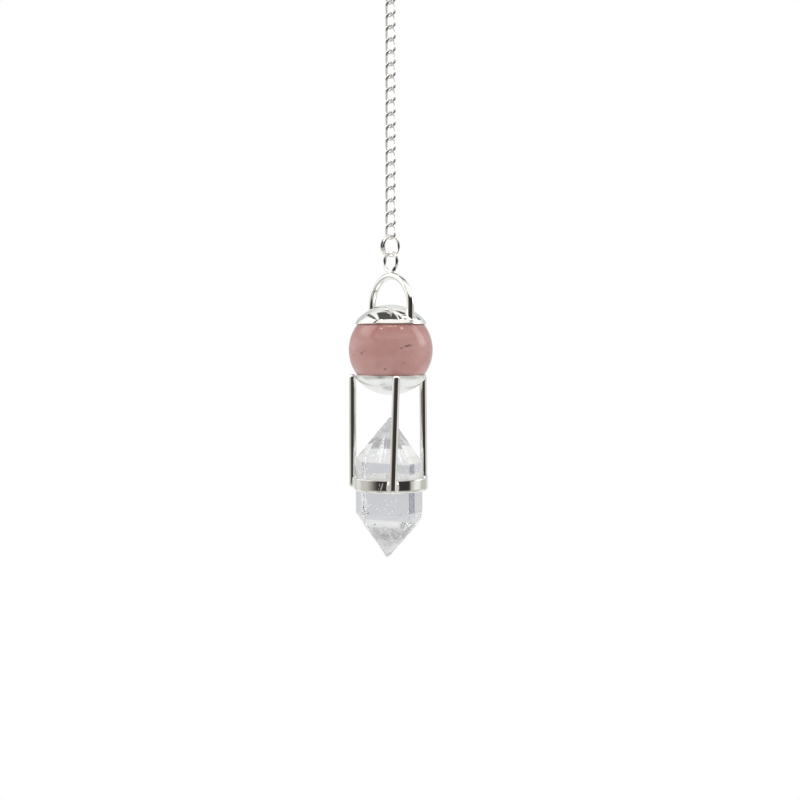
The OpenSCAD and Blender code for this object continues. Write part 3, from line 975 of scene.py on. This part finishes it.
def tent_walls(t, x, y, azimuth, height):
    """The tent's cloth, greyer low down and behind, with its soft lights."""
    low = t.mix(t.step(x, -0.5, 0.5), rgb(0.56, 0.55, 0.515), rgb(0.55, 0.545, 0.515))
    low = t.mix(t.step(y, 0.7, 0.95), low, rgb(0.84, 0.84, 0.83))
    beneath = t.math("MULTIPLY", t.step(y, 0.1, 0.55), t.step(height, -24, -12, 1.0, 0.0))
    low = t.mix(beneath, low, rgb(0.89, 0.9, 0.895))
    low = t.mix(t.step(height, -62, -32, 1.0, 0.0), low, rgb(0.87, 0.885, 0.875))
    high = t.mix(t.step(height, 55, 70), rgb(1.0, 0.995, 0.98), rgb(1.15, 1.15, 1.13))
    high = t.mix(t.step(y, 0.4, 0.75), high, rgb(0.83, 0.85, 0.86))
    tent = t.mix(t.step(height, 0, 13), low, high)
    behind = t.math("MULTIPLY", t.step(y, 0.6, 0.82), t.window(height, -6, 44, 6))
    aside = t.step(t.math("ABSOLUTE", x), 0.1, 0.42)
    tent = t.mix(behind, tent, t.mix(aside, rgb(0.78, 0.8, 0.8), rgb(0.63, 0.66, 0.67)))
    for around, up, colour in TENT_PARTS:
        tent = t.mix(t.patch((azimuth, *around), (height, *up)), tent, colour)
    left = t.patch((azimuth, -118, -72, 9), (height, 28, 58, 7))
    right = t.patch((azimuth, 86, 112, 7), (height, 8, 46, 7))
    tent = t.mix(t.math("MAXIMUM", left, right), tent, rgb(2.8, 2.75, 2.7))
    bar = t.patch((azimuth, -38, 38, 5), (height, 64.5, 68.5, 1.2))
    return t.mix(bar, tent, rgb(4.5, 4.4, 4.3))


def open_front(t, tent, azimuth, height):
    """The dark open side towards the camera, before the tent."""
    level = t.math("MULTIPLY", t.step(azimuth, -86, -38), t.step(azimuth, 60, 68, 1.0, 0.0))
    level = t.math("MULTIPLY", level, t.window(height, -19, 13, 4))
    upper = t.patch((azimuth, -50, 82, 6), (height, 5, 29, 3))
    lower = t.patch((azimuth, -49, -28, 4), (height, -46, -31, 4))
    front = t.math("MAXIMUM", level, t.math("MAXIMUM", upper, lower))
    cool = t.math("MULTIPLY", t.step(azimuth, 22, 40), t.step(height, -12, -4, 1.0, 0.0))
    dark = t.mix(cool, rgb(0.045, 0.037, 0.034), rgb(0.022, 0.028, 0.033))
    return t.mix(front, tent, dark)


def opening_overhead(t, tent, x, y, z):
    """The dark opening overhead, crossed by bright strips, and a dark edge beside it."""
    above = t.math("MAXIMUM", z, 0.05)
    u, v = t.math("DIVIDE", x, above), t.math("DIVIDE", y, above)
    upward = t.step(z, 0.3, 0.5)
    slot = t.math("MULTIPLY", t.patch((u, -0.38, 0.5, 0.025), (v, -0.12, 0.6, 0.025)), upward)
    for start, end, half_width in STRIPS:
        strip = line_light(t, u, v, start, end, half_width)
        slot = t.math("MULTIPLY", slot, t.math("SUBTRACT", 1.0, strip))
    edge = line_light(t, u, v, (-0.67, 1.16), (-0.46, -0.36), 0.055)
    tent = t.mix(t.math("MULTIPLY", edge, upward), tent, rgb(0.14, 0.14, 0.135))
    return t.mix(slot, tent, rgb(0.085, 0.085, 0.085))


def surroundings(t, x, y, z):
    """What the metal and the ball reflect, by azimuth from the front and by height, in degrees."""
    azimuth = azimuth_of(t, x, y)
    height = t.math("DEGREES", t.math("ARCSINE", z))
    tent = tent_walls(t, x, y, azimuth, height)
    tent = open_front(t, tent, azimuth, height)
    tent = opening_overhead(t, tent, x, y, z)
    for around, up, colour in CREASES:
        tent = t.mix(t.patch((azimuth, *around), (height, *up)), tent, colour)
    for around, up in LAMPS:
        lamp = t.patch((azimuth, around - 5, around + 5, 2), (height, up - 2.5, up + 2.5, 1))
        tent = t.mix(lamp, tent, rgb(9, 8.8, 8.6))
    return tent


def through_crystal(t, x, y, z):
    """What shows through the crystal: the same tent, paler and softer, as its milky inside makes it."""
    azimuth = azimuth_of(t, x, y)
    back = t.mix(t.step(x, -0.6, 0.6), rgb(0.545, 0.55, 0.575), rgb(0.535, 0.55, 0.585))
    tone = t.mix(t.step(z, 0.2, 0.8), back, rgb(0.86, 0.86, 0.84))
    tone = t.mix(t.step(z, -0.6, -0.15, 1.0, 0.0), tone, rgb(0.84, 0.84, 0.82))
    front = t.patch((azimuth, -62, 62, 10), (z, -0.5, 0.5, 0.12))
    tone = t.mix(front, tone, rgb(0.78, 0.78, 0.78))
    warm = t.patch((azimuth, 62, 84, 5), (z, -0.4, 0.4, 0.1))
    return t.mix(warm, tone, rgb(0.95, 0.93, 0.84))


def on_stone(t, x, z):
    """The light that the ball's matt colour gathers, with the open front lit as well."""
    tone = t.mix(t.step(z, -0.6, 0.8), rgb(0.92, 0.92, 0.92), rgb(0.79, 0.78, 0.77))
    sides = t.math("MULTIPLY", t.math("MULTIPLY", x, x), 0.6)
    return t.mix(sides, tone, rgb(1.3, 1.35, 1.38))


def studio():
    """Soft light from a white tent that is open towards the camera, before a pure white backdrop."""
    world = bpy.data.worlds.new("studio")
    bpy.context.scene.world = world
    t = Tree(world)
    way = t.add("ShaderNodeTexCoord").outputs["Generated"]
    x, y, z = t.add("ShaderNodeSeparateXYZ", {0: way}).outputs
    rays = t.add("ShaderNodeLightPath").outputs
    inside = t.math("GREATER_THAN", rays["Transmission Depth"], 0.5)
    light = t.mix(inside, surroundings(t, x, y, z), through_crystal(t, x, y, z))
    light = t.mix(rays["Is Diffuse Ray"], light, on_stone(t, x, z))
    around = t.add("ShaderNodeBackground", {"Color": light, "Strength": 1.0})
    backdrop = t.add("ShaderNodeBackground", {"Color": rgb(1, 1, 1), "Strength": 1.0})
    seen = rays["Is Camera Ray"]
    both = t.add("ShaderNodeMixShader", {0: seen, 1: around.outputs[0], 2: backdrop.outputs[0]})
    t.add("ShaderNodeOutputWorld", {"Surface": both.outputs[0]})


camera()
floor()
studio()
bpy.context.scene.view_settings.view_transform = "Standard"
end_ring()
for number in range(1, LINK_COUNT + 1):
    chain_link(number)
jump_ring()
upper_cap()
ball()
cage()
crystal()
milky_points()
inclusions()
veils()
feathers()
shades()
